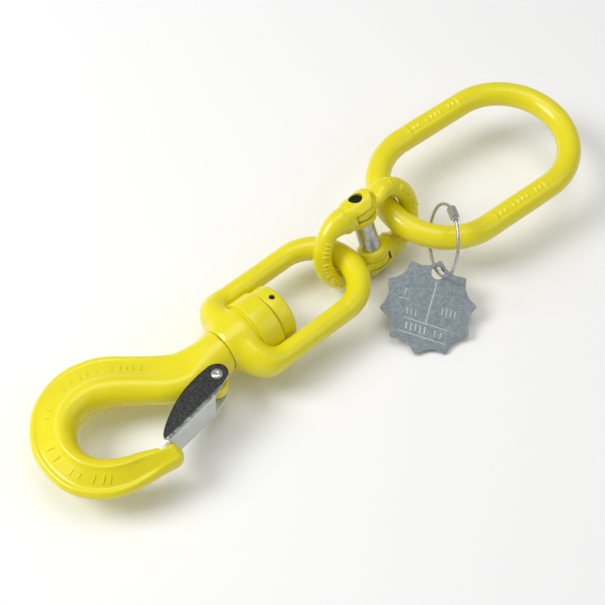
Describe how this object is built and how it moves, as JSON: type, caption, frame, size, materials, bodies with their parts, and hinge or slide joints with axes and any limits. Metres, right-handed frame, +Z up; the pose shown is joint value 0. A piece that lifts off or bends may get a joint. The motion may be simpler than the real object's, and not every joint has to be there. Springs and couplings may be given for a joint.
{
  "type": "swivel hook",
  "caption": "Chain swivel hook: oval master link, two-half coupling link, ball-bearing swivel bow, latched sling hook and an inspection tag on a cable loop.",
  "frame": {"origin": "centre of the footprint on the surface the assembly lies on, the tag's cable left out", "axes": "+X along the chain from the hook to the master link, +Y across it, +Z up"},
  "size_m": [0.4456, 0.1419, 0.0686],
  "materials": {
    "yellow_paint": "glossy powder coat",
    "black_steel": "black oxide",
    "bright_steel": "satin",
    "bearing_steel": "polished",
    "bronze": "satin",
    "rubber": "matt",
    "zinc_sheet": "zinc plated sheet",
    "zinc_tag": "zinc plated, slightly mottled",
    "cable_steel": "stranded wire"
  },
  "bodies": {
    "master": {"master_link": "yellow_paint"},
    "link_half": {"coupling_half_link_side": "yellow_paint"},
    "load_pin": {"coupling_pin": "black_steel", "coupling_sleeve": "bright_steel", "coupling_spring_clip": "bright_steel"},
    "hook_half": {"coupling_half_hook_side": "yellow_paint"},
    "bow": {"swivel_bow": "yellow_paint", "hub_bush": "bronze", "grease_seal": "rubber", "lower_race": "bearing_steel", "bearing_cover": "yellow_paint"},
    "ball_ring": {"bearing_balls": "bearing_steel", "ball_cage": "bronze"},
    "hook": {"hook": "yellow_paint", "upper_race": "bearing_steel", "swivel_nut": "yellow_paint", "nut_lock_pin": "black_steel", "latch_rivet": "bright_steel", "latch_spring": "bright_steel"},
    "latch": {"latch": "zinc_sheet"},
    "cable": {"tag_cable": "cable_steel", "cable_barrel": "bright_steel", "cable_stud": "bright_steel"},
    "tag": {"tag": "zinc_tag"}
  },
  "joints": [
    {"name": "link_pitch", "type": "hinge", "parent": "master", "child": "link_half", "pos_m": [0.06806, 0.02005, 0.03401], "axis": [0.0628, 0.998, 0], "range_deg": [-40, 40]},
    {"name": "pin_turn", "type": "hinge", "parent": "link_half", "child": "load_pin", "pos_m": [0.04485, 0.02155, 0.0318], "axis": [-0.1158, 0.3696, 0.922], "continuous": true},
    {"name": "coupling_turn", "type": "hinge", "parent": "link_half", "child": "hook_half", "pos_m": [0.04485, 0.02155, 0.0318], "axis": [-0.1158, 0.3696, 0.922], "range_deg": [-20, 20]},
    {"name": "bow_pitch", "type": "hinge", "parent": "hook_half", "child": "bow", "pos_m": [0.02264, 0.0163, 0.0259], "axis": [-0.0139, 0.9985, -0.0523], "range_deg": [-30, 30]},
    {"name": "hook_swivel", "type": "hinge", "parent": "bow", "child": "hook", "pos_m": [-0.05725, 0.01518, 0.0259], "axis": [0.9999, 0.014, 0], "continuous": true},
    {"name": "ball_ring_turn", "type": "hinge", "parent": "bow", "child": "ball_ring", "pos_m": [-0.05725, 0.01518, 0.0259], "axis": [0.9999, 0.014, 0], "continuous": true},
    {"name": "latch_open", "type": "hinge", "parent": "hook", "child": "latch", "pos_m": [-0.1056, -0.00317, 0.02683], "axis": [0.0007, -0.0523, -0.9986], "range_deg": [0, 32], "stiffness_Nm_per_rad": 0.06, "springref_deg": -28.65},
    {"name": "cable_swing", "type": "hinge", "parent": "master", "child": "cable", "pos_m": [0.08092, -0.01451, 0.03484], "axis": [0.6998, -0.7132, 0.0415], "range_deg": [-15, 15]},
    {"name": "tag_swing", "type": "hinge", "parent": "cable", "child": "tag", "pos_m": [0.06563, -0.03068, 0.02237], "axis": [-0.3194, -0.728, 0.6067], "range_deg": [-12, 12]}
  ],
  "couplings": [
    {"joint": "ball_ring_turn", "follows": "hook_swivel", "ratio": 0.5}
  ]
}
